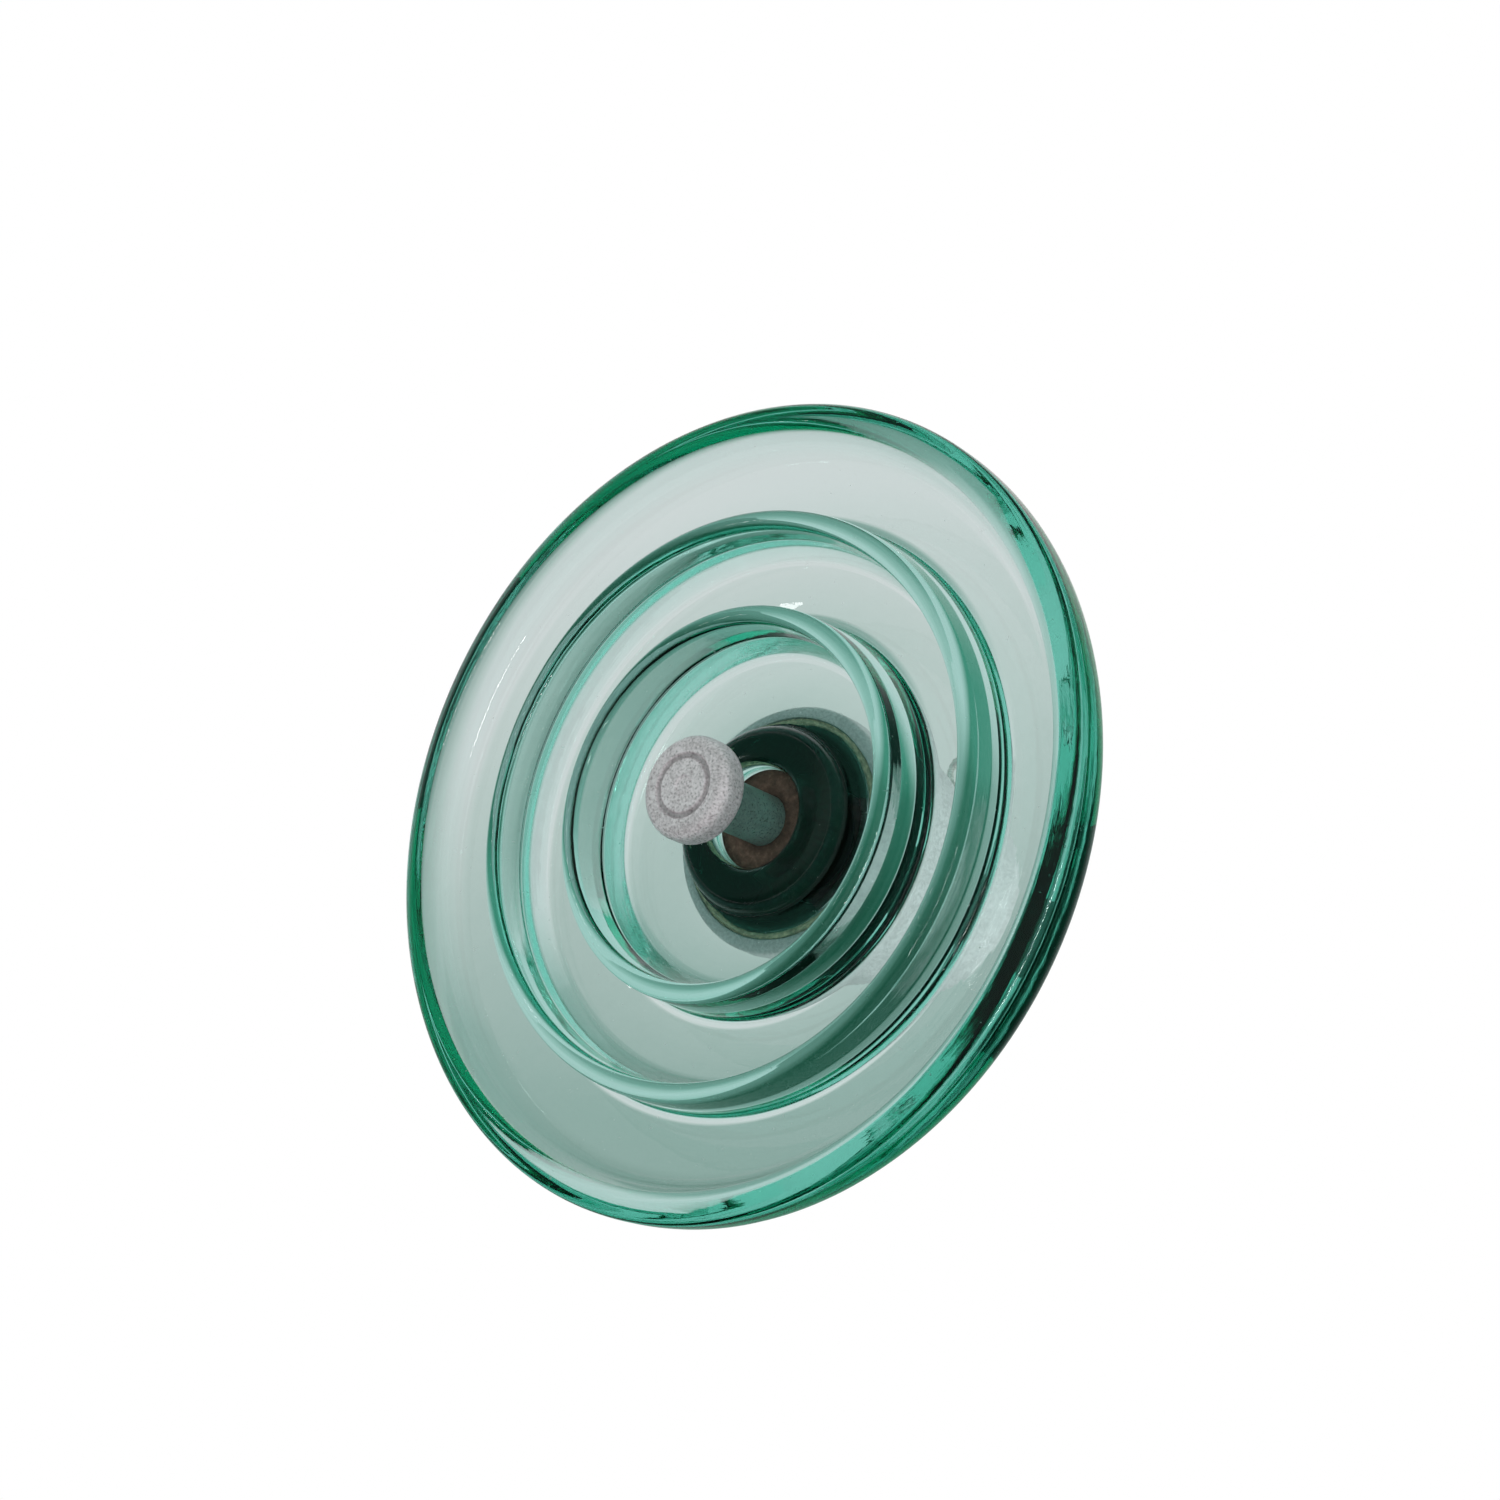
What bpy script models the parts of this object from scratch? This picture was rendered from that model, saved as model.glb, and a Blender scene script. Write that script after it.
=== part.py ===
"""Cap-and-pin suspension insulator with a toughened-glass shell.

Metres, +Z up. The insulator hangs as it does in a string: cap above, ball pin below.
The origin is on the axis, at the seat in the cap's socket where the ball of the unit
above bears. All dimensions below are in millimetres, and to_metres() converts them.
"""
import math

import bmesh
import bpy
from mathutils import Vector

MM = 0.001
GAP = 0.3                    # clearance kept between touching pieces

# Driving dimensions of the unit
SPACING = 127.0              # socket seat to ball bearing face
SHED_R = 127.5               # half of the 255 mm disc
RIB_FOOT_Z = -126.0          # plane that the tip of the outer rib lies in

# Ball-and-socket coupling, 16 mm size
SHANK_R = 8.1
BALL_R = 16.3
BALL_BEARING_Z = -SPACING
BALL_END_Z = BALL_BEARING_Z - 12.6
SLOT_R = 9.6                 # the socket's slot for a shank
WINDOW_R = 17.9              # the socket's side window for a ball
SEAT_R = 17.2                # round pocket that the ball rises into
WINDOW_TOP_Z = -5.0
SOCKET_FLOOR_Z = -21.5
CAP_TOP_Z = 9.0

# Cap
CAP_HEAD_R = 33.0
CAP_BODY_R = 39.0
CAP_BEAD_R = 40.2
CAP_RIM_Z = -84.5
CAP_BORE_R = 34.6
CAP_CEILING_Z = -30.0
CAP_CUSHION_R = 20.0

# Glass head, inside the cap
HEAD_TOP_Z = -37.0
HEAD_R = 31.5
HEAD_WAIST_Z = -54.0
NECK_R = 30.4
NECK_TOP_Z = -62.0
NECK_FOOT_Z = -88.5
PIN_HOLE_R = 16.2
PIN_HOLE_TOP_R = 19.0
PIN_HOLE_WAIST_Z = -64.0
PIN_HOLE_CEILING_Z = -52.0

# Pin
PIN_TOP_Z = -57.0
PIN_HEAD_R = 14.0
PIN_CEMENT_FACE_Z = -99.0

# Locking clip
CLIP_Z = -16.9
CLIP_WIRE_R = 1.6
CLIP_LEG_X = 1.9
CLIP_TIP_Y = -12.0
CLIP_EYE_Y = 38.5
CLIP_EYE_R = 5.0
CLIP_HOLE_R = 4.0

SHED_SEGMENTS = 48
CAP_SEGMENTS = 40
PIN_SEGMENTS = 32
ARC_STEP = math.radians(46)


def to_metres(points):
    """Millimetre points as vectors in metres."""
    return [Vector(point) * MM for point in points]


def above_ribs(r, height, radius=0.0):
    """A corner given by its height above the outer rib's tip."""
    return (r, RIB_FOOT_Z + height, radius)


def rounded(corners, closed=False):
    """Outline through (r, z, radius) corners, with an arc at each corner that has a radius."""
    count = len(corners)
    points = []
    for i, (r, z, radius) in enumerate(corners):
        here = Vector((r, z))
        is_end = not closed and i in (0, count - 1)
        if is_end or radius == 0.0:
            points.append(here)
            continue
        before = (Vector(corners[i - 1][:2]) - here).normalized()
        after = (Vector(corners[(i + 1) % count][:2]) - here).normalized()
        half = before.angle(after) / 2
        reach = radius / math.tan(half)
        centre = here + (before + after).normalized() * (radius / math.sin(half))
        start = here + before * reach - centre
        end = here + after * reach - centre
        turn = math.copysign(math.pi - 2 * half, start.x * end.y - start.y * end.x)
        arcs = max(2, math.ceil(abs(turn) / ARC_STEP))
        for k in range(arcs + 1):
            angle = turn * k / arcs
            cos, sin = math.cos(angle), math.sin(angle)
            points.append(centre + Vector((start.x * cos - start.y * sin,
                                           start.x * sin + start.y * cos)))
    return points


def finish_piece(name, bm, material):
    """Write a bmesh to a new smooth-shaded object with its material."""
    bmesh.ops.recalc_face_normals(bm, faces=bm.faces)
    mesh = bpy.data.meshes.new(name)
    bm.to_mesh(mesh)
    bm.free()
    mesh.materials.append(material)
    mesh.shade_smooth()
    mesh.set_sharp_from_angle(angle=math.radians(40))
    piece = bpy.data.objects.new(name, mesh)
    bpy.context.scene.collection.objects.link(piece)
    return piece


def turned(name, outline, material, segments, closed=False):
    """Turn an outline about the Z axis. An open outline starts and ends on the axis."""
    bm = bmesh.new()
    verts = [bm.verts.new(v) for v in to_metres((p.x, 0.0, p.y) for p in outline)]
    pairs = list(zip(verts, verts[1:]))
    if closed:
        pairs.append((verts[-1], verts[0]))
    edges = [bm.edges.new(pair) for pair in pairs]
    bmesh.ops.spin(bm, geom=verts + edges, cent=(0, 0, 0), axis=(0, 0, 1),
                   angle=math.tau, steps=segments, use_merge=True)
    bmesh.ops.remove_doubles(bm, verts=bm.verts, dist=1e-6)
    return finish_piece(name, bm, material)


def paint(name, colour, roughness, metallic=0.0, transmission=0.0):
    """A Principled material."""
    material = bpy.data.materials.new(name)
    material.use_nodes = True
    shader = material.node_tree.nodes["Principled BSDF"]
    shader.inputs["Base Color"].default_value = (*colour, 1.0)
    shader.inputs["Roughness"].default_value = roughness
    shader.inputs["Metallic"].default_value = metallic
    shader.inputs["Transmission Weight"].default_value = transmission
    return material


def cut(piece, cutter):
    """Subtract a cutter from a piece with an exact Boolean."""
    cutter.hide_render = True
    cutter.display_type = 'WIRE'
    modifier = piece.modifiers.new(cutter.name, 'BOOLEAN')
    modifier.operation = 'DIFFERENCE'
    modifier.solver = 'EXACT'
    modifier.object = cutter


def prism_cutter(name, outline, low_z, high_z):
    """A cutter with a flat outline in X and Y, extruded from low_z to high_z."""
    bm = bmesh.new()
    face = bm.faces.new([bm.verts.new(v) for v in to_metres((x, y, low_z) for x, y in outline)])
    grown = bmesh.ops.extrude_face_region(bm, geom=[face])["geom"]
    lifted = [g for g in grown if isinstance(g, bmesh.types.BMVert)]
    bmesh.ops.translate(bm, verts=lifted, vec=(0, 0, (high_z - low_z) * MM))
    bmesh.ops.recalc_face_normals(bm, faces=bm.faces)
    mesh = bpy.data.meshes.new(name)
    bm.to_mesh(mesh)
    bm.free()
    cutter = bpy.data.objects.new(name, mesh)
    bpy.context.scene.collection.objects.link(cutter)
    return cutter


def arc_points(radius, start, end, steps):
    """Points on an arc about the origin, angles in degrees."""
    angles = [math.radians(start + (end - start) * k / steps) for k in range(steps + 1)]
    return [(radius * math.cos(a), radius * math.sin(a)) for a in angles]


def front_channel(radius):
    """A channel from the axis out through the front, with a round back end."""
    reach = -(CAP_BODY_R + 5.0)
    return [(radius, reach)] + arc_points(radius, 0, 180, 20) + [(-radius, reach)]


def make_glass_shell(material):
    """One pressing: head in the cap, dished shed, rim, two ribs and the boss round the pin."""
    head = [
        (0.0, HEAD_TOP_Z, 0.0),
        (HEAD_R, HEAD_TOP_Z, 10.0),
        (HEAD_R, HEAD_WAIST_Z, 0.0),
        (NECK_R, NECK_TOP_Z, 0.0),
    ]
    shed_top = [
        (NECK_R, NECK_FOOT_Z, 8.0),
        above_ribs(65.0, 33.0),
        above_ribs(94.0, 27.4),
        above_ribs(SHED_R, 16.4, 12.0),
    ]
    rim = [
        above_ribs(SHED_R, 0.6, 4.5),
        above_ribs(118.5, -2.6, 2.8),
        above_ribs(115.6, 11.5, 9.0),
    ]
    outer_rib = [
        above_ribs(92.9, 17.9, 2.8),
        above_ribs(92.2, 0.0, 2.9),
        above_ribs(86.0, 0.0, 2.9),
        above_ribs(85.3, 15.0, 4.0),
        above_ribs(82.2, 21.4, 2.5),
    ]
    inner_rib = [
        above_ribs(62.8, 24.2, 3.2),
        above_ribs(62.2, 2.3, 2.9),
        above_ribs(56.0, 2.3, 2.9),
        above_ribs(55.5, 14.5, 5.0),
        above_ribs(52.3, 24.8, 3.0),
    ]
    boss = [
        above_ribs(29.9, 27.6, 1.4),
        above_ribs(29.5, 20.4, 5.6),
        above_ribs(PIN_HOLE_R, 20.4, 3.6),
    ]
    pin_hole = [
        above_ribs(PIN_HOLE_R, 30.0),
        (PIN_HOLE_TOP_R, PIN_HOLE_WAIST_Z, 0.0),
        (PIN_HOLE_TOP_R, PIN_HOLE_CEILING_Z, 4.0),
        (0.0, PIN_HOLE_CEILING_Z, 0.0),
    ]
    corners = head + shed_top + rim + outer_rib + inner_rib + boss + pin_hole
    return turned("glass_shell", rounded(corners), material, SHED_SEGMENTS)


def make_cap(material):
    """Cast bell with a beaded rim and, at its top, the socket for the ball above."""
    outside = [
        (0.0, CAP_TOP_Z, 0.0),
        (CAP_HEAD_R - 1.0, CAP_TOP_Z, 7.0),
        (CAP_HEAD_R, -22.0, 8.0),
        (CAP_BODY_R - 1.0, -40.0, 12.0),
        (CAP_BODY_R, -74.0, 2.0),
        (CAP_BEAD_R, -77.0, 1.5),
        (CAP_BEAD_R, CAP_RIM_Z, 2.0),
    ]
    inside = [
        (CAP_BORE_R + 1.0, CAP_RIM_Z, 0.0),
        (CAP_BORE_R, CAP_RIM_Z + 2.5, 0.0),
        (CAP_BORE_R, CAP_CEILING_Z, 7.0),
        (0.0, CAP_CEILING_Z, 0.0),
    ]
    cap = turned("cap", rounded(outside + inside), material, CAP_SEGMENTS)
    above_cap = CAP_TOP_Z + 4.0
    window = prism_cutter("cut_ball_window", front_channel(WINDOW_R), SOCKET_FLOOR_Z, WINDOW_TOP_Z)
    seat_ring = arc_points(SEAT_R, 4, 364, 40)[:-1]
    seat = prism_cutter("cut_ball_seat", seat_ring, WINDOW_TOP_Z - 2.0, 0.0)
    slot = prism_cutter("cut_shank_slot", front_channel(SLOT_R), WINDOW_TOP_Z - 3.0, above_cap)
    clip_ring = arc_points(CLIP_HOLE_R, 6, 366, 20)[:-1]
    clip_hole = prism_cutter("cut_clip_hole", clip_ring, 0.0, CAP_BODY_R)
    clip_hole.rotation_euler.x = -math.pi / 2
    clip_hole.location = Vector((0.0, SLOT_R, CLIP_Z)) * MM
    for cutter in (window, seat, slot, clip_hole):
        cut(cap, cutter)
    return cap


def make_cap_cement(material):
    """Cement between the cap and the glass head."""
    cushion_hole_r = CAP_CUSHION_R + GAP
    outside = [
        (CAP_BORE_R + 0.6 - GAP, CAP_RIM_Z + 1.0, 0.0),
        (CAP_BORE_R - GAP, CAP_RIM_Z + 2.8, 0.0),
        (CAP_BORE_R - GAP, CAP_CEILING_Z - GAP, 7.0),
        (cushion_hole_r, CAP_CEILING_Z - GAP, 0.0),
    ]
    inside = [
        (cushion_hole_r, HEAD_TOP_Z + GAP, 0.0),
        (HEAD_R + GAP, HEAD_TOP_Z + GAP, 10.0),
        (HEAD_R + GAP, HEAD_WAIST_Z, 0.0),
        (NECK_R + GAP, NECK_TOP_Z, 0.0),
        (NECK_R + GAP, -80.0, 0.0),
        (NECK_R + 4 * GAP, CAP_RIM_Z + 1.0, 0.0),
    ]
    return turned("cap_cement", rounded(outside + inside, closed=True), material,
                  CAP_SEGMENTS, closed=True)


def make_cap_cushion(material):
    """Elastic disc between the glass head and the cap's ceiling."""
    corners = [
        (0.0, CAP_CEILING_Z - GAP, 0.0),
        (CAP_CUSHION_R, CAP_CEILING_Z - GAP, 0.0),
        (CAP_CUSHION_R, HEAD_TOP_Z + GAP, 0.0),
        (0.0, HEAD_TOP_Z + GAP, 0.0),
    ]
    return turned("cap_cushion", rounded(corners), material, PIN_SEGMENTS)


def make_pin(material):
    """Forged pin: cone head in the glass, round shank, ball end with a ringed face."""
    head = [
        (0.0, PIN_TOP_Z, 0.0),
        (PIN_HEAD_R, PIN_TOP_Z, 1.5),
        (PIN_HEAD_R, PIN_TOP_Z - 5.0, 1.0),
        (SHANK_R, PIN_TOP_Z - 27.0, 8.0),
    ]
    ball = [
        (SHANK_R, BALL_BEARING_Z + 0.9, 1.8),
        (BALL_R, BALL_BEARING_Z - 2.8, 3.6),
        (BALL_R, BALL_END_Z, 5.0),
    ]
    end_face = [
        (9.9, BALL_END_Z, 0.0),
        (9.5, BALL_END_Z + 0.5, 0.0),
        (8.9, BALL_END_Z + 0.5, 0.0),
        (8.5, BALL_END_Z, 0.0),
        (3.2, BALL_END_Z, 0.0),
        (2.6, BALL_END_Z + 0.4, 0.0),
        (0.0, BALL_END_Z + 0.4, 0.0),
    ]
    return turned("pin", rounded(head + ball + end_face), material, PIN_SEGMENTS)


def make_pin_cement(material):
    """Cement between the pin and the wall of the glass bore, open at its lower face."""
    cone_gap = GAP * 1.1
    corners = [
        (PIN_HEAD_R + GAP, PIN_TOP_Z, 0.0),
        (PIN_HEAD_R + GAP, PIN_TOP_Z - 5.2, 0.0),
        (SHANK_R + cone_gap, PIN_TOP_Z - 27.2, 8.0),
        (SHANK_R + GAP, PIN_CEMENT_FACE_Z, 0.0),
        (PIN_HOLE_R - GAP, PIN_CEMENT_FACE_Z, 0.0),
        (PIN_HOLE_R - GAP, RIB_FOOT_Z + 30.0, 0.0),
        (PIN_HOLE_TOP_R - GAP, PIN_HOLE_WAIST_Z, 0.0),
        (PIN_HOLE_TOP_R - GAP, PIN_TOP_Z, 0.0),
    ]
    return turned("pin_cement", rounded(corners, closed=True), material,
                  PIN_SEGMENTS, closed=True)


def make_pin_cushion(material):
    """Cork disc between the pin's head and the top of the glass bore."""
    corners = [
        (0.0, PIN_HOLE_CEILING_Z - GAP, 0.0),
        (14.6, PIN_HOLE_CEILING_Z - GAP, 0.0),
        (18.2, -55.4, 0.0),
        (18.2, PIN_TOP_Z + GAP, 0.0),
        (0.0, PIN_TOP_Z + GAP, 0.0),
    ]
    return turned("pin_cushion", rounded(corners), material, PIN_SEGMENTS)


def make_split_pin(material):
    """Locking clip: two legs through the cap's back wall under the ball, and a pulling eye."""
    flare = [(4.6, CLIP_TIP_Y), (4.2, CLIP_TIP_Y + 1.2), (2.4, CLIP_TIP_Y + 4.0)]
    leg = flare + [(CLIP_LEG_X, CLIP_TIP_Y + 5.6)]
    neck = math.degrees(math.asin(CLIP_LEG_X / CLIP_EYE_R))
    eye = [(x, y + CLIP_EYE_Y) for x, y in arc_points(CLIP_EYE_R, neck - 90, 270 - neck, 20)]
    route = leg + eye + [(-x, y) for x, y in reversed(leg)]
    curve = bpy.data.curves.new("split_pin", 'CURVE')
    curve.dimensions = '3D'
    curve.bevel_depth = CLIP_WIRE_R * MM
    curve.bevel_resolution = 2
    curve.use_fill_caps = True
    spline = curve.splines.new('POLY')
    spline.points.add(len(route) - 1)
    for point, place in zip(spline.points, to_metres((x, y, 0.0) for x, y in route)):
        point.co = (*place, 1.0)
        point.radius = 1.0
    curve.materials.append(material)
    clip = bpy.data.objects.new("split_pin", curve)
    clip.location = Vector((0.0, 0.0, CLIP_Z)) * MM
    bpy.context.scene.collection.objects.link(clip)
    return clip


def main():
    """Clear the scene and build every piece."""
    for old in list(bpy.data.objects):
        bpy.data.objects.remove(old, do_unlink=True)
    glass = paint("green_glass", (0.30, 0.62, 0.50), 0.05, transmission=0.9)
    galvanised_cast = paint("galvanised_iron", (0.50, 0.51, 0.52), 0.55, metallic=0.85)
    galvanised_forged = paint("galvanised_steel", (0.56, 0.53, 0.54), 0.45, metallic=0.85)
    cement = paint("portland_cement", (0.17, 0.135, 0.10), 0.9)
    cork = paint("cork", (0.42, 0.28, 0.16), 0.9)
    rubber = paint("rubber", (0.03, 0.03, 0.03), 0.8)
    stainless = paint("stainless_wire", (0.62, 0.60, 0.57), 0.3, metallic=1.0)
    make_glass_shell(glass)
    make_cap(galvanised_cast)
    make_cap_cement(cement)
    make_cap_cushion(rubber)
    make_pin(galvanised_forged)
    make_pin_cement(cement)
    make_pin_cushion(cork)
    make_split_pin(stainless)


main()
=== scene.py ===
"""Looks of the glass suspension insulator: fine surfaces, materials, light and camera.

Metres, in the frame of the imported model: +Z up along the axis, cap above, ball pin below.
"""
import math

import bmesh
import bpy
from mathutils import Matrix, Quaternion, Vector


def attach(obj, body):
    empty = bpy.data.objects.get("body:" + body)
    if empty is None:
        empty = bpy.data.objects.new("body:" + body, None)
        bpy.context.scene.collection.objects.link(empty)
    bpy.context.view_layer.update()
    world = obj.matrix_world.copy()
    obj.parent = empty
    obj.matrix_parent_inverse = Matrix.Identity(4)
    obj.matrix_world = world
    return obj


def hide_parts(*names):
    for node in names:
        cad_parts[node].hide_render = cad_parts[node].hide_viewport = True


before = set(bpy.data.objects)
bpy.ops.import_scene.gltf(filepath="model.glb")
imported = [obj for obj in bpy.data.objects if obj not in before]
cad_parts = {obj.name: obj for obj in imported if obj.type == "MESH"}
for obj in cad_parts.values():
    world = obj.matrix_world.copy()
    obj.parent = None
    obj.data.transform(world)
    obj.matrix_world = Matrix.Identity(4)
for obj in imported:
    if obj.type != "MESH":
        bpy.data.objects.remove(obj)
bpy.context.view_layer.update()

MM = 0.001                   # outlines are in millimetres
FINE_ARC = math.radians(11)  # largest turn between neighbouring points of an arc
SHARP_EDGE = math.radians(40)
CLIP_SHARP_EDGE = math.radians(50)
DISC_SEGMENTS = 240
CAP_SEGMENTS = 144
PIN_SEGMENTS = 96            # of the pin and of both cement layers
GAP = 0.3                    # clearance kept between touching pieces
BITE = 0.12                  # how far cement reaches into the glass that it is bonded to

# Glass
SHED_R = 127.5               # half of the 255 mm disc
RIB_FOOT_Z = -126.0          # plane that the tip of the outer rib lies in
HEAD_TOP_Z = -37.0
HEAD_R = 31.5
HEAD_WAIST_Z = -54.0
NECK_R = 30.4
NECK_TOP_Z = -62.0
NECK_FOOT_Z = -88.5
PIN_HOLE_R = 16.2
PIN_HOLE_TOP_R = 19.0
PIN_HOLE_WAIST_Z = -64.0
PIN_HOLE_CEILING_Z = -52.0

# Pin
PIN_TOP_Z = -57.0
PIN_HEAD_R = 14.0
SHANK_R = 8.1
BALL_R = 16.3
BALL_END_Z = -139.6
PIN_CEMENT_FACE_Z = -99.0

# Cap and its socket
CAP_TOP_Z = 9.0
CAP_HEAD_R = 33.0
CAP_BODY_R = 39.0
CAP_BEAD_R = 40.2
CAP_RIM_Z = -84.5
CAP_BORE_R = 34.6
CAP_CEILING_Z = -30.0
CAP_CEMENT_FACE_Z = -83.5
CAP_CUSHION_R = 20.0
WINDOW_R = 17.9
SEAT_R = 17.2
SLOT_R = 9.6
WINDOW_TOP_Z = -5.0
SOCKET_FLOOR_Z = -21.5
SOCKET_REACH = -50.0         # how far the cutters run out through the front of the cap

# Locking clip
CLIP_Z = -16.9
CLIP_WIRE_R = 1.6
CLIP_LEG_X = 1.9
CLIP_TIP_Y = -12.0
CLIP_EYE_Y = 38.5
CLIP_EYE_R = 5.0
CLIP_HOLE_R = 4.0


# ---------------------------------------------------------------- outlines and turning

def above_ribs(r, height, radius=0.0):
    """A corner given by its height above the outer rib's tip."""
    return (r, RIB_FOOT_Z + height, radius)


def rounded(corners, closed=False):
    """Outline through (r, z, radius) corners, with an arc at each corner that has a radius."""
    count = len(corners)
    points = []
    for i, (r, z, radius) in enumerate(corners):
        here = Vector((r, z))
        is_end = not closed and i in (0, count - 1)
        if is_end or radius == 0.0:
            points.append(here)
            continue
        before = (Vector(corners[i - 1][:2]) - here).normalized()
        after = (Vector(corners[(i + 1) % count][:2]) - here).normalized()
        half = before.angle(after) / 2
        reach = radius / math.tan(half)
        centre = here + (before + after).normalized() * (radius / math.sin(half))
        start = here + before * reach - centre
        end = here + after * reach - centre
        turn = math.copysign(math.pi - 2 * half, start.x * end.y - start.y * end.x)
        arcs = max(2, math.ceil(abs(turn) / FINE_ARC))
        for k in range(arcs + 1):
            angle = turn * k / arcs
            cos, sin = math.cos(angle), math.sin(angle)
            points.append(centre + Vector((start.x * cos - start.y * sin,
                                           start.x * sin + start.y * cos)))
    return points


def turned(name, outline, segments, closed=False):
    """Turn an outline in millimetres about the Z axis into a smooth mesh in metres."""
    bm = bmesh.new()
    verts = [bm.verts.new((p.x * MM, 0.0, p.y * MM)) for p in outline]
    pairs = list(zip(verts, verts[1:]))
    if closed:
        pairs.append((verts[-1], verts[0]))
    edges = [bm.edges.new(pair) for pair in pairs]
    bmesh.ops.spin(bm, geom=verts + edges, cent=(0, 0, 0), axis=(0, 0, 1),
                   angle=math.tau, steps=segments, use_merge=True)
    bmesh.ops.remove_doubles(bm, verts=bm.verts, dist=1e-6)
    bmesh.ops.recalc_face_normals(bm, faces=bm.faces)
    mesh = bpy.data.meshes.new(name)
    bm.to_mesh(mesh)
    bm.free()
    mesh.shade_smooth()
    piece = bpy.data.objects.new(name, mesh)
    bpy.context.scene.collection.objects.link(piece)
    return piece


def arc_points(radius, start, end, steps):
    """Points on an arc about the origin, angles in degrees."""
    angles = [math.radians(start + (end - start) * k / steps) for k in range(steps + 1)]
    return [(radius * math.cos(a), radius * math.sin(a)) for a in angles]


def prism(outline, low_z, high_z):
    """A cutting solid over a flat outline, from low_z to high_z."""
    bm = bmesh.new()
    face = bm.faces.new([bm.verts.new((x * MM, y * MM, low_z * MM)) for x, y in outline])
    grown = bmesh.ops.extrude_face_region(bm, geom=[face])["geom"]
    lifted = [g for g in grown if isinstance(g, bmesh.types.BMVert)]
    bmesh.ops.translate(bm, verts=lifted, vec=(0, 0, (high_z - low_z) * MM))
    bmesh.ops.recalc_face_normals(bm, faces=bm.faces)
    mesh = bpy.data.meshes.new("cutter")
    bm.to_mesh(mesh)
    bm.free()
    cutter = bpy.data.objects.new("cutter", mesh)
    bpy.context.scene.collection.objects.link(cutter)
    return cutter


def settled(piece):
    """Give an object the mesh that its modifiers or its curve make."""
    bpy.context.view_layer.update()
    whole = piece.evaluated_get(bpy.context.evaluated_depsgraph_get())
    return bpy.data.meshes.new_from_object(whole)


def carved(piece, cutters, edge):
    """Subtract cutters from a piece for good and round the edges that they leave."""
    for cutter in cutters:
        modifier = piece.modifiers.new("cut", 'BOOLEAN')
        modifier.operation = 'DIFFERENCE'
        modifier.solver = 'EXACT'
        modifier.object = cutter
    bevel = piece.modifiers.new("edge", 'BEVEL')
    bevel.width = edge * MM
    bevel.segments = 3
    bevel.limit_method = 'ANGLE'
    bevel.angle_limit = SHARP_EDGE
    mesh = settled(piece)
    piece.modifiers.clear()
    piece.data = mesh
    mesh.set_sharp_from_angle(angle=SHARP_EDGE)
    for cutter in cutters:
        bpy.data.objects.remove(cutter, do_unlink=True)


# ---------------------------------------------------------------- materials

def new_material(name):
    """A node material and its Principled shader."""
    material = bpy.data.materials.new(name)
    material.use_nodes = True
    return material, material.node_tree, material.node_tree.nodes["Principled BSDF"]


def noise(tree, scale, detail=4.0, roughness=0.55):
    """Noise in object coordinates; scale counts features per metre."""
    place = tree.nodes.new("ShaderNodeTexCoord")
    texture = tree.nodes.new("ShaderNodeTexNoise")
    texture.inputs["Scale"].default_value = scale
    texture.inputs["Detail"].default_value = detail
    texture.inputs["Roughness"].default_value = roughness
    tree.links.new(place.outputs["Object"], texture.inputs["Vector"])
    return texture.outputs["Fac"]


def off_axis(tree):
    """The object coordinates without their height, as a vector from the Z axis."""
    place = tree.nodes.new("ShaderNodeTexCoord")
    flat = tree.nodes.new("ShaderNodeVectorMath")
    flat.operation = 'MULTIPLY'
    flat.inputs[1].default_value = (1.0, 1.0, 0.0)
    tree.links.new(place.outputs["Object"], flat.inputs[0])
    return flat.outputs["Vector"]


def length(tree, vector):
    """The length of a vector."""
    node = tree.nodes.new("ShaderNodeVectorMath")
    node.operation = 'LENGTH'
    tree.links.new(vector, node.inputs[0])
    return node.outputs["Value"]


def height_of(tree):
    """The Z object coordinate."""
    place = tree.nodes.new("ShaderNodeTexCoord")
    parts = tree.nodes.new("ShaderNodeSeparateXYZ")
    tree.links.new(place.outputs["Object"], parts.inputs["Vector"])
    return parts.outputs["Z"]


def times(tree, value, factor):
    """A value times a number."""
    node = tree.nodes.new("ShaderNodeMath")
    node.operation = 'MULTIPLY'
    node.inputs[1].default_value = factor
    tree.links.new(value, node.inputs[0])
    return node.outputs["Value"]


def ring_noise(tree, around, across):
    """Noise drawn out into rings about the Z axis, as on a turned mould."""
    flat = off_axis(tree)
    heading = tree.nodes.new("ShaderNodeVectorMath")
    heading.operation = 'NORMALIZE'
    tree.links.new(flat, heading.inputs[0])
    slow = tree.nodes.new("ShaderNodeVectorMath")
    slow.operation = 'SCALE'
    slow.inputs["Scale"].default_value = around
    tree.links.new(heading.outputs["Vector"], slow.inputs[0])
    outward = tree.nodes.new("ShaderNodeCombineXYZ")
    tree.links.new(times(tree, length(tree, flat), across), outward.inputs["Z"])
    joined = tree.nodes.new("ShaderNodeVectorMath")
    tree.links.new(slow.outputs["Vector"], joined.inputs[0])
    tree.links.new(outward.outputs["Vector"], joined.inputs[1])
    texture = tree.nodes.new("ShaderNodeTexNoise")
    texture.noise_dimensions = '4D'
    texture.inputs["Scale"].default_value = 1.0
    texture.inputs["Detail"].default_value = 3.0
    tree.links.new(joined.outputs["Vector"], texture.inputs["Vector"])
    tree.links.new(times(tree, height_of(tree), across), texture.inputs["W"])
    return texture.outputs["Fac"]


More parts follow.
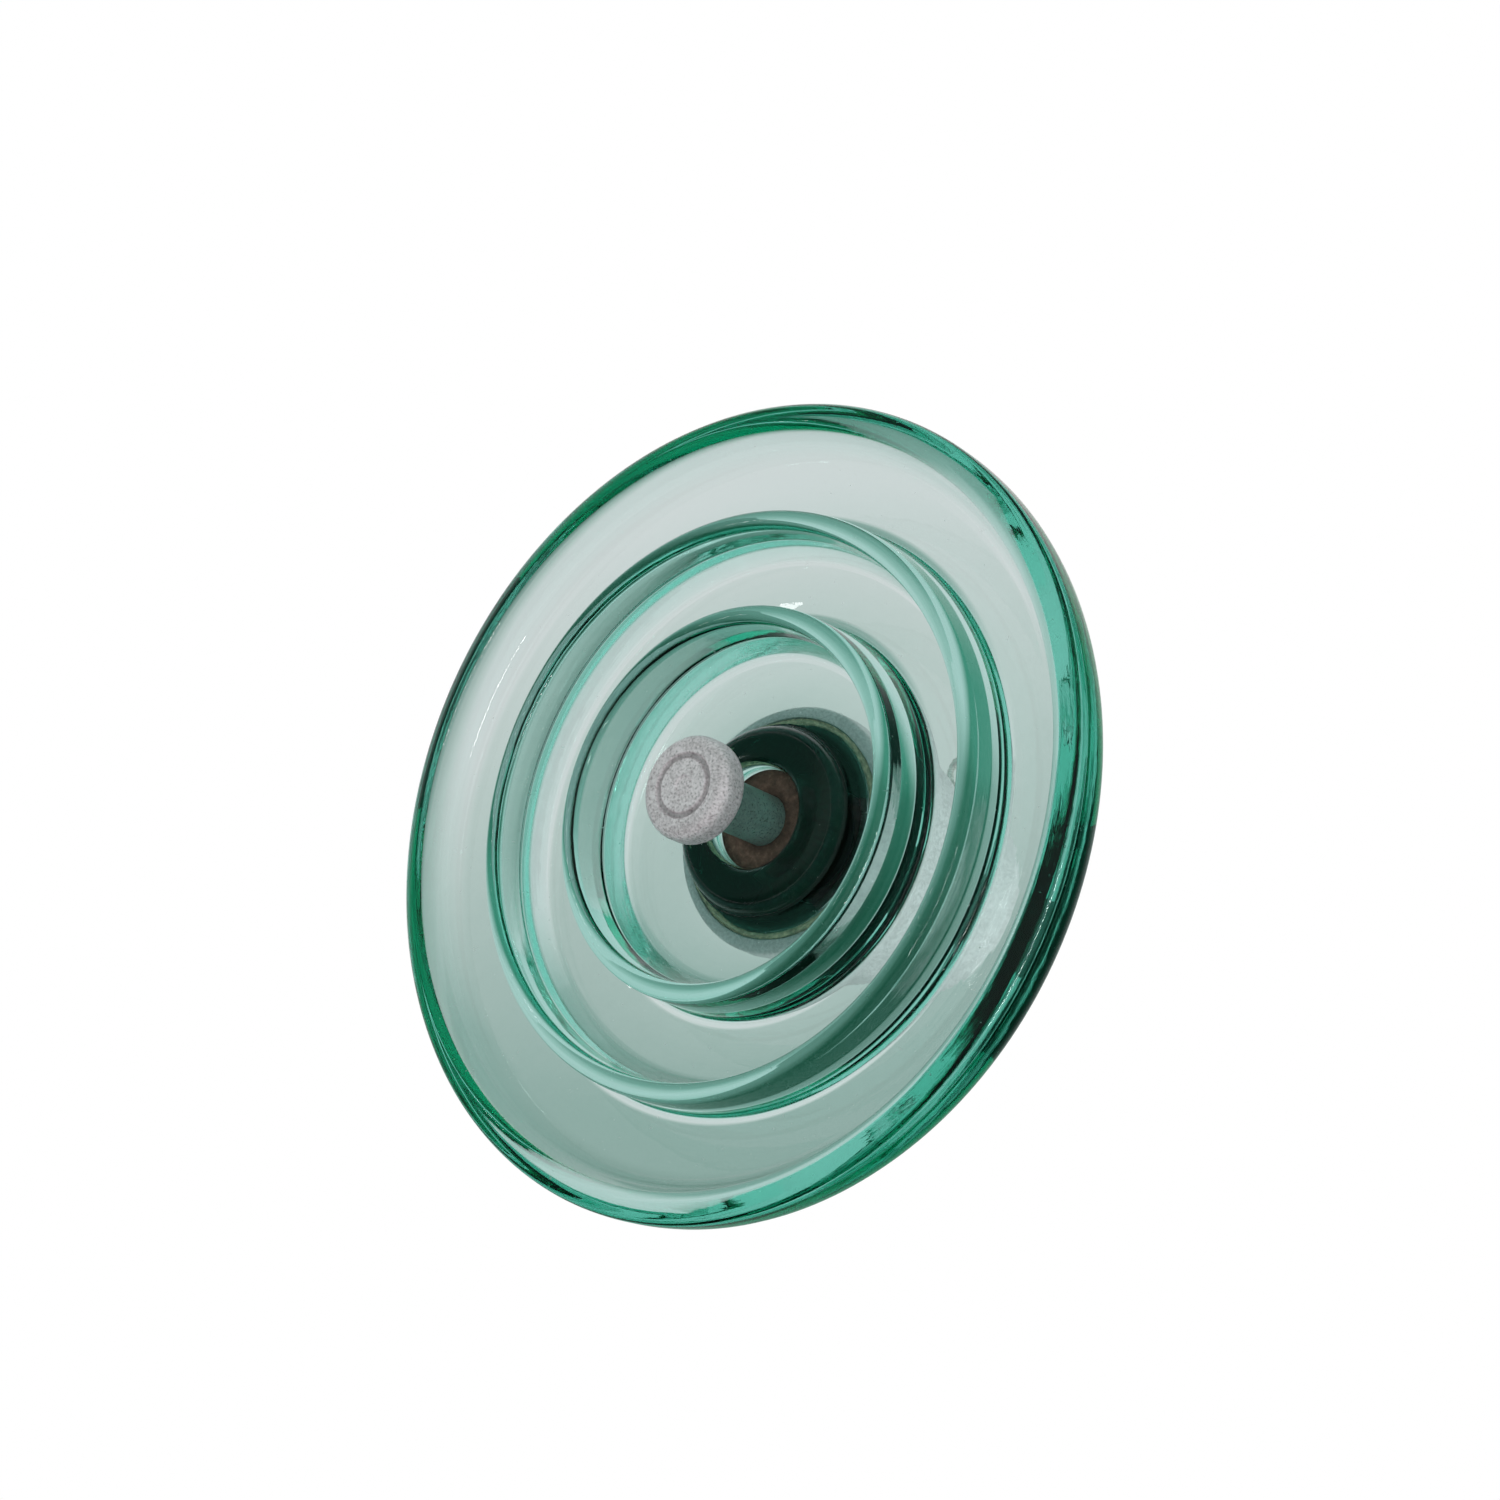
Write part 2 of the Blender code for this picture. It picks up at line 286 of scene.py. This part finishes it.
def nodes_sum(tree, weighted):
    """Weighted sum of values."""
    total = None
    for value, weight in weighted:
        node = tree.nodes.new("ShaderNodeMath")
        node.operation = 'MULTIPLY_ADD'
        node.inputs[1].default_value = weight
        node.inputs[2].default_value = 0.0
        tree.links.new(value, node.inputs[0])
        if total is not None:
            tree.links.new(total, node.inputs[2])
        total = node.outputs["Value"]
    return total


def grey(value):
    """A neutral colour."""
    return (value, value, value)


def ramp(tree, source, stops):
    """A colour ramp on a value; stops are (position, colour)."""
    node = tree.nodes.new("ShaderNodeValToRGB")
    elements = node.color_ramp.elements
    while len(elements) < len(stops):
        elements.new(0.5)
    for element, (position, colour) in zip(elements, stops):
        element.position = position
        element.color = (*colour, 1.0)
    tree.links.new(source, node.inputs["Fac"])
    return node.outputs["Color"]


def product(tree, first, second):
    """Two colours multiplied."""
    node = tree.nodes.new("ShaderNodeMix")
    node.data_type = 'RGBA'
    node.blend_type = 'MULTIPLY'
    node.inputs["Factor"].default_value = 1.0
    tree.links.new(first, node.inputs[6])
    tree.links.new(second, node.inputs[7])
    return node.outputs[2]


def spread(tree, value, low, high):
    """Map a value from low...high to 0...1."""
    node = tree.nodes.new("ShaderNodeMapRange")
    node.inputs["From Min"].default_value = low
    node.inputs["From Max"].default_value = high
    tree.links.new(value, node.inputs["Value"])
    return node.outputs["Result"]


def bump(tree, shader, height, strength, distance):
    """Bump on a shader's normal; distance in metres."""
    node = tree.nodes.new("ShaderNodeBump")
    node.inputs["Strength"].default_value = strength
    node.inputs["Distance"].default_value = distance
    tree.links.new(height, node.inputs["Height"])
    tree.links.new(node.outputs["Normal"], shader.inputs["Normal"])


def green_glass():
    """Clear toughened glass that looks green through its thickness."""
    material, tree, shader = new_material("green_glass")
    shader.inputs["Base Color"].default_value = (1.0, 1.0, 1.0, 1.0)
    shader.inputs["IOR"].default_value = 1.52
    shader.inputs["Transmission Weight"].default_value = 1.0
    specks = ramp(tree, noise(tree, 520.0, 2.0), [(0.70, grey(0.0)), (0.76, grey(0.35))])
    tree.links.new(specks, shader.inputs["Roughness"])
    relief = nodes_sum(tree, [(noise(tree, 60.0, 2.0), 1.0), (ring_noise(tree, 2.5, 700.0), 0.14)])
    bump(tree, shader, relief, 0.10, 0.0006)
    absorb = tree.nodes.new("ShaderNodeVolumeAbsorption")
    absorb.inputs["Color"].default_value = (0.340, 0.850, 0.765, 1.0)
    absorb.inputs["Density"].default_value = 36.0
    output = tree.nodes["Material Output"]
    tree.links.new(absorb.outputs["Volume"], output.inputs["Volume"])
    return material


def mottled_metal(name, dark, light, roughness, grain, depth, metallic):
    """A metal with a mottle and a fine sparkle. Its colour is returned and not yet linked."""
    material, tree, shader = new_material(name)
    mottle = nodes_sum(tree, [(noise(tree, grain, 2.0), 0.75), (noise(tree, grain * 0.15, 3.0), 0.25)])
    colour = ramp(tree, mottle, [(0.40, dark), (0.60, light)])
    shader.inputs["Metallic"].default_value = metallic
    rough = ramp(tree, noise(tree, grain, 3.0),
                 [(0.3, grey(roughness - 0.1)), (0.7, grey(roughness + 0.12))])
    tree.links.new(rough, shader.inputs["Roughness"])
    bump(tree, shader, noise(tree, grain * 1.3, 4.0, 0.6), 0.6, depth)
    return material, tree, shader, colour


def plain_metal(*settings):
    """A mottled metal with the same look all over."""
    material, tree, shader, colour = mottled_metal(*settings)
    tree.links.new(colour, shader.inputs["Base Color"])
    return material


def pin_zinc():
    """Zinc of the pin: painted shade with a painted green reflection of the glass on the shank, and painted
    shade in the ball's ring groove.
    """
    material, tree, shader, colour = mottled_metal(
        "galvanised_steel", (0.60, 0.52, 0.55), (0.97, 0.88, 0.92), 0.34, 1300.0, 0.0007, 0.45)
    # Painted shade with a painted green reflection of the glass: the shank above the ball is tinted dark
    # green-grey
    above_ball = spread(tree, height_of(tree), -0.1268, -0.1235)
    painted_shank_shade = ramp(tree, above_ball, [(0.0, grey(1.0)), (1.0, (0.20, 0.36, 0.31))])
    from_axis = spread(tree, length(tree, off_axis(tree)), 0.0, BALL_R * MM)
    # Painted shade: the ring groove on the ball's end is darkened in colour, with fainter darker bands
    # further out and at the rim
    painted_shade_rings = ramp(tree, from_axis, [
        (0.0, grey(0.98)), (0.50, grey(1.0)), (0.53, grey(0.58)), (0.60, grey(0.58)),
        (0.64, grey(1.0)), (0.84, grey(0.90)), (0.95, grey(1.0)), (1.0, grey(0.80))])
    tree.links.new(product(tree, product(tree, colour, painted_shank_shade), painted_shade_rings), shader.inputs["Base Color"])
    return material


def cement_material(name, tone):
    """Set cement of the given tone, with sand grains."""
    material, tree, shader = new_material(name)
    colour = ramp(tree, noise(tree, 500.0, 6.0, 0.7),
                  [(0.30, tuple(0.4 * c for c in tone)), (0.55, tone),
                   (0.75, tuple(1.9 * c for c in tone))])
    tree.links.new(colour, shader.inputs["Base Color"])
    shader.inputs["Roughness"].default_value = 0.9
    bump(tree, shader, noise(tree, 900.0, 6.0, 0.7), 0.8, 0.0004)
    return material


def speckled(name, dark, light, scale, roughness, depth):
    """A matt solid with a speckle, such as cork or rubber."""
    material, tree, shader = new_material(name)
    colour = ramp(tree, noise(tree, scale, 5.0, 0.6), [(0.35, dark), (0.65, light)])
    tree.links.new(colour, shader.inputs["Base Color"])
    shader.inputs["Roughness"].default_value = roughness
    bump(tree, shader, noise(tree, scale * 1.5, 4.0), 0.5, depth)
    return material


def painted_where(piece, paint, is_painted):
    """Give a second material to the faces whose distance from the axis and height are picked."""
    piece.data.materials.append(paint)
    for face in piece.data.polygons:
        if is_painted(math.hypot(*face.center[:2]) / MM, face.center.z / MM):
            face.material_index = 1


GLASS = green_glass()
PIN_ZINC = pin_zinc()
CAP_ZINC = plain_metal("galvanised_iron", (0.46, 0.455, 0.46), (0.62, 0.615, 0.62),
                       0.50, 900.0, 0.0004, 0.25)
WIRE = plain_metal("stainless_wire", (0.55, 0.54, 0.52), (0.72, 0.70, 0.67),
                   0.24, 2500.0, 0.00003, 0.45)
CEMENT = cement_material("portland_cement", (0.100, 0.070, 0.048))
CAP_CEMENT = cement_material("cap_joint_cement", (0.62, 0.56, 0.38))
BITUMEN = speckled("bitumen", (0.003, 0.012, 0.008), (0.010, 0.040, 0.027), 700.0, 0.5, 0.0002)
CORK = speckled("cork", (0.16, 0.08, 0.035), (0.48, 0.31, 0.17), 600.0, 0.9, 0.0004)
RUBBER = speckled("rubber", (0.015, 0.015, 0.015), (0.05, 0.05, 0.05), 900.0, 0.75, 0.0001)


# ---------------------------------------------------------------- fine pieces

glass_corners = [
    (0.0, HEAD_TOP_Z, 0.0),
    (HEAD_R, HEAD_TOP_Z, 10.0),
    (HEAD_R, HEAD_WAIST_Z, 0.0),
    (NECK_R, NECK_TOP_Z, 0.0),
    (NECK_R, NECK_FOOT_Z, 8.0),
    above_ribs(65.0, 33.0),
    above_ribs(94.0, 27.4),
    above_ribs(SHED_R, 16.4, 12.0),
    above_ribs(SHED_R, 0.6, 4.5),
    above_ribs(118.5, -2.6, 2.8),
    above_ribs(115.6, 11.5, 9.0),
    above_ribs(92.9, 17.9, 2.8),
    above_ribs(92.2, 0.0, 2.9),
    above_ribs(86.0, 0.0, 2.9),
    above_ribs(85.3, 15.0, 4.0),
    above_ribs(82.2, 21.4, 2.5),
    above_ribs(62.8, 24.2, 3.2),
    above_ribs(62.2, 2.3, 2.9),
    above_ribs(56.0, 2.3, 2.9),
    above_ribs(55.5, 14.5, 5.0),
    above_ribs(52.3, 24.8, 3.0),
    above_ribs(29.9, 27.6, 1.4),
    above_ribs(29.5, 20.4, 5.6),
    above_ribs(PIN_HOLE_R, 20.4, 3.6),
    above_ribs(PIN_HOLE_R, 30.0),
    (PIN_HOLE_TOP_R, PIN_HOLE_WAIST_Z, 0.0),
    (PIN_HOLE_TOP_R, PIN_HOLE_CEILING_Z, 4.0),
    (0.0, PIN_HOLE_CEILING_Z, 0.0),
]
glass = turned("glass_body", rounded(glass_corners), DISC_SEGMENTS)
glass.data.materials.append(GLASS)
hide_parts("glass_shell")
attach(glass, "insulator")

pin_corners = [
    (0.0, PIN_TOP_Z, 0.0),
    (PIN_HEAD_R, PIN_TOP_Z, 1.5),
    (PIN_HEAD_R, PIN_TOP_Z - 5.0, 1.0),
    (SHANK_R, PIN_TOP_Z - 27.0, 8.0),
    (SHANK_R, BALL_END_Z + 13.5, 1.8),
    (BALL_R, BALL_END_Z + 9.8, 3.6),
    (BALL_R, BALL_END_Z, 4.2),
    (10.4, BALL_END_Z, 0.5),
    (9.7, BALL_END_Z + 0.8, 0.4),
    (8.9, BALL_END_Z + 0.8, 0.4),
    (8.2, BALL_END_Z, 0.5),
    (3.2, BALL_END_Z, 0.4),
    (2.6, BALL_END_Z + 0.4, 0.3),
    (0.0, BALL_END_Z + 0.4, 0.0),
]
pin = turned("ball_pin", rounded(pin_corners), PIN_SEGMENTS)
pin.data.materials.append(PIN_ZINC)
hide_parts("pin")
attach(pin, "insulator")

pin_cement_corners = [
    (PIN_HEAD_R + 0.1, PIN_TOP_Z, 0.0),
    (PIN_HEAD_R + 0.1, PIN_TOP_Z - 5.1, 0.0),
    (SHANK_R + 0.1, PIN_TOP_Z - 27.1, 8.0),
    (SHANK_R + 0.1, PIN_CEMENT_FACE_Z, 0.0),
    (PIN_HOLE_R + BITE, PIN_CEMENT_FACE_Z, 0.0),
    (PIN_HOLE_R + BITE, RIB_FOOT_Z + 30.0, 0.0),
    (PIN_HOLE_TOP_R + BITE, PIN_HOLE_WAIST_Z, 0.0),
    (PIN_HOLE_TOP_R + BITE, PIN_TOP_Z, 0.0),
]
pin_cement = turned("bore_cement", rounded(pin_cement_corners, closed=True), PIN_SEGMENTS, closed=True)
pin_cement.data.materials.append(CEMENT)
painted_where(pin_cement, BITUMEN, lambda r, z: r > PIN_HOLE_R - 0.1)
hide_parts("pin_cement")
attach(pin_cement, "insulator")

cap_cement_corners = [
    (CAP_BORE_R + 0.3, CAP_CEMENT_FACE_Z, 0.0),
    (CAP_BORE_R - GAP, CAP_CEMENT_FACE_Z + 1.8, 0.0),
    (CAP_BORE_R - GAP, CAP_CEILING_Z - GAP, 7.0),
    (CAP_CUSHION_R + GAP, CAP_CEILING_Z - GAP, 0.0),
    (CAP_CUSHION_R + GAP, HEAD_TOP_Z - BITE, 0.0),
    (HEAD_R - BITE, HEAD_TOP_Z - BITE, 10.0),
    (HEAD_R - BITE, HEAD_WAIST_Z, 0.0),
    (NECK_R - BITE, NECK_TOP_Z, 0.0),
    (NECK_R - BITE, CAP_CEMENT_FACE_Z + 3.5, 0.0),
    (NECK_R + 0.6 - BITE, CAP_CEMENT_FACE_Z, 0.0),
]
cap_cement = turned("cap_joint_cement", rounded(cap_cement_corners, closed=True), PIN_SEGMENTS, closed=True)
cap_cement.data.materials.append(CAP_CEMENT)
painted_where(cap_cement, BITUMEN, lambda r, z: r < HEAD_R + 0.3 and z > CAP_CEMENT_FACE_Z + 0.3)
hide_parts("cap_cement")
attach(cap_cement, "insulator")


def front_channel(radius):
    """A channel from the axis out through the front, with a round back end."""
    return [(radius, SOCKET_REACH)] + arc_points(radius, 0, 180, 48) + [(-radius, SOCKET_REACH)]


cap_corners = [
    (0.0, CAP_TOP_Z, 0.0),
    (32.0, CAP_TOP_Z, 7.0),
    (CAP_HEAD_R, -22.0, 8.0),
    (38.0, -40.0, 12.0),
    (CAP_BODY_R, -74.0, 2.0),
    (CAP_BEAD_R, -77.0, 1.5),
    (CAP_BEAD_R, CAP_RIM_Z, 2.0),
    (CAP_BORE_R + 1.0, CAP_RIM_Z, 0.0),
    (CAP_BORE_R, CAP_RIM_Z + 2.5, 0.0),
    (CAP_BORE_R, CAP_CEILING_Z, 7.0),
    (0.0, CAP_CEILING_Z, 0.0),
]
cap = turned("socket_cap", rounded(cap_corners), CAP_SEGMENTS)
clip_hole = prism(arc_points(CLIP_HOLE_R, 5, 365, 36)[:-1], 0.0, CAP_BODY_R)
clip_hole.rotation_euler.x = -math.pi / 2
clip_hole.location = Vector((0.0, SLOT_R, CLIP_Z)) * MM
window = prism(front_channel(WINDOW_R), SOCKET_FLOOR_Z, WINDOW_TOP_Z)
seat = prism(arc_points(SEAT_R, 2, 362, 72)[:-1], WINDOW_TOP_Z - 2.0, 0.0)
shank_slot = prism(front_channel(SLOT_R), WINDOW_TOP_Z - 3.0, CAP_TOP_Z + 4.0)
carved(cap, [window, seat, shank_slot, clip_hole], edge=0.8)
cap.data.materials.append(CAP_ZINC)
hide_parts("cap")
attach(cap, "insulator")

clip_flare = [(4.6, CLIP_TIP_Y), (4.2, CLIP_TIP_Y + 1.2), (2.4, CLIP_TIP_Y + 4.0)]
clip_leg = clip_flare + [(CLIP_LEG_X, CLIP_TIP_Y + 5.6)]
clip_neck = math.degrees(math.asin(CLIP_LEG_X / CLIP_EYE_R))
clip_eye_arc = arc_points(CLIP_EYE_R, clip_neck - 90, 270 - clip_neck, 48)
clip_eye = [(x, y + CLIP_EYE_Y) for x, y in clip_eye_arc]
clip_route = clip_leg + clip_eye + [(-x, y) for x, y in reversed(clip_leg)]
clip_curve = bpy.data.curves.new("clip_curve", 'CURVE')
clip_curve.dimensions = '3D'
clip_curve.bevel_depth = CLIP_WIRE_R * MM
clip_curve.bevel_resolution = 5
clip_curve.use_fill_caps = True
spline = clip_curve.splines.new('POLY')
spline.points.add(len(clip_route) - 1)
for point, (x, y) in zip(spline.points, clip_route):
    point.co = (x * MM, y * MM, CLIP_Z * MM, 1.0)
    point.radius = 1.0
clip_line = bpy.data.objects.new("clip_line", clip_curve)
bpy.context.scene.collection.objects.link(clip_line)
clip = bpy.data.objects.new("locking_clip", settled(clip_line))
bpy.data.objects.remove(clip_line, do_unlink=True)
bpy.context.scene.collection.objects.link(clip)
clip.data.shade_smooth()
clip.data.set_sharp_from_angle(angle=CLIP_SHARP_EDGE)
clip.data.materials.append(WIRE)
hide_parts("split_pin")
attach(clip, "clip")

for node, material in (("cap_cushion", RUBBER), ("pin_cushion", CORK)):
    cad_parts[node].material_slots[0].material = material


# ---------------------------------------------------------------- camera

CAMERA_PLACE = Vector((-0.4980, 0.0178, -0.6868))
CAMERA_ELEVATION = math.radians(48.76)       # it looks up from below the disc
CAMERA_ROLL = math.radians(115.02)
CAMERA_LENS = 60.0
CAMERA_SENSOR = 36.0

camera_data = bpy.data.cameras.new("camera")
camera_data.lens = CAMERA_LENS
camera_data.sensor_width = CAMERA_SENSOR
camera = bpy.data.objects.new("camera", camera_data)
camera.location = CAMERA_PLACE
look = Vector((math.cos(CAMERA_ELEVATION), 0.0, math.sin(CAMERA_ELEVATION)))
turn = look.to_track_quat('-Z', 'Y') @ Quaternion((0, 0, 1), CAMERA_ROLL)
camera.rotation_mode = 'QUATERNION'
camera.rotation_quaternion = turn
bpy.context.scene.collection.objects.link(camera)
bpy.context.scene.camera = camera


# ---------------------------------------------------------------- stage and light

FLOOR_Z = -1.0               # below the main camera, which looks up at the disc
FLOOR_R = 12.0
DISC_CENTRE = Vector((0.0, 0.0, -0.11))
LIT_SIDE = (turn @ Vector((-0.2, 0.98, 0.0))).normalized()    # up and a little left in the main view

# What glass and metal see, by how far a direction lies along the main view and along LIT_SIDE
BACKDROP_STOPS = [(0.0, (0.26, 0.37, 0.33)), (0.45, (0.09, 0.30, 0.225)), (0.74, (0.09, 0.31, 0.23)),
                  (0.87, (0.82, 0.76, 0.77)), (1.0, (0.86, 0.79, 0.80))]
SIDE_STOPS = [(0.10, (0.14, 0.24, 0.20)), (0.44, (0.40, 0.54, 0.50)), (0.50, (0.72, 0.79, 0.77)),
              (0.54, (0.92, 0.92, 0.93)), (1.0, (0.97, 0.97, 0.97))]
# What matt surfaces see, from straight below to straight above
SOFT_STOPS = [(0.0, (0.52, 0.52, 0.52)), (0.5, (0.66, 0.66, 0.67)), (1.0, (0.95, 0.95, 0.96))]

floor_mesh = bpy.data.meshes.new("floor")
floor_bm = bmesh.new()
bmesh.ops.create_circle(floor_bm, cap_ends=True, segments=64, radius=FLOOR_R)
floor_bm.to_mesh(floor_mesh)
floor_bm.free()
floor = bpy.data.objects.new("floor", floor_mesh)
floor.location.z = FLOOR_Z
bpy.context.scene.collection.objects.link(floor)
floor_material, _, floor_shader = new_material("floor_paint")
floor_shader.inputs["Base Color"].default_value = (*grey(0.82), 1.0)
floor_shader.inputs["Roughness"].default_value = 0.9
floor_mesh.materials.append(floor_material)
floor.visible_glossy = False  # keeps the boss from mirroring the pale floor


def along(tree, direction):
    """How far the looked-at direction lies along another one, from 0 for opposite to 1."""
    place = tree.nodes.new("ShaderNodeTexCoord")
    node = tree.nodes.new("ShaderNodeVectorMath")
    node.operation = 'DOT_PRODUCT'
    node.inputs[1].default_value = direction
    tree.links.new(place.outputs["Generated"], node.inputs[0])
    return spread(tree, node.outputs["Value"], -1.0, 1.0)


def choice(tree, factor, first, second):
    """First background where the factor is 0, second where it is 1 or more."""
    node = tree.nodes.new("ShaderNodeMixShader")
    tree.links.new(factor, node.inputs["Fac"])
    tree.links.new(first, node.inputs[1])
    tree.links.new(second, node.inputs[2])
    return node.outputs["Shader"]


def studio_world():
    """White to the eye, soft to matt things. The glass sees a lit backdrop in a dim green room."""
    world = bpy.data.worlds.new("studio")
    world.use_nodes = True
    tree = world.node_tree
    nodes, links = tree.nodes, tree.links
    glassy = nodes["Background"]
    backdrop = ramp(tree, along(tree, look), BACKDROP_STOPS)
    sides = ramp(tree, along(tree, LIT_SIDE), SIDE_STOPS)
    links.new(product(tree, backdrop, sides), glassy.inputs["Color"])
    soft = nodes.new("ShaderNodeBackground")
    links.new(ramp(tree, along(tree, (0.0, 0.0, 1.0)), SOFT_STOPS), soft.inputs["Color"])
    white = nodes.new("ShaderNodeBackground")
    white.inputs["Color"].default_value = (1.0, 1.0, 1.0, 1.0)
    path = nodes.new("ShaderNodeLightPath")
    unseen = choice(tree, path.outputs["Diffuse Depth"],
                    glassy.outputs["Background"], soft.outputs["Background"])
    whole = choice(tree, path.outputs["Is Camera Ray"], unseen, white.outputs["Background"])
    links.new(whole, nodes["World Output"].inputs["Surface"])
    bpy.context.scene.world = world


def softbox(name, direction, distance, width, height, power):
    """A rectangular area light that faces the disc from a direction. Metres and watts."""
    data = bpy.data.lights.new(name, 'AREA')
    data.shape = 'RECTANGLE'
    data.size = width
    data.size_y = height
    data.energy = power
    light = bpy.data.objects.new(name, data)
    light.location = DISC_CENTRE + direction * distance
    light.rotation_mode = 'QUATERNION'
    light.rotation_quaternion = (-direction).to_track_quat('-Z', 'Y')
    light.visible_camera = False
    bpy.context.scene.collection.objects.link(light)
    return light


studio_world()

# Small and dim, from below on the far side
softbox("key", Vector((0.625, -0.03, -0.78)), 1.0, 0.03, 0.016, 0.012)

# Large and strong, from above on the camera's side, neither mirrored nor seen through the glass
cap_light = softbox("cap_light", Vector((-0.92, 0.0, 0.38)), 1.2, 0.6, 0.6, 12.0)
cap_light.visible_transmission = False
cap_light.visible_glossy = False

# A narrow strip from below on the camera's side, mirrored but not seen through the glass
arc_light = softbox("arc_light", Vector((-0.85, 0.0, -0.53)), 1.0, 0.6, 0.03, 1.4)
arc_light.visible_transmission = False

scene = bpy.context.scene
scene.view_settings.view_transform = 'Standard'
scene.cycles.max_bounces = 32
scene.cycles.transmission_bounces = 32
scene.cycles.glossy_bounces = 12
scene.cycles.caustics_refractive = True
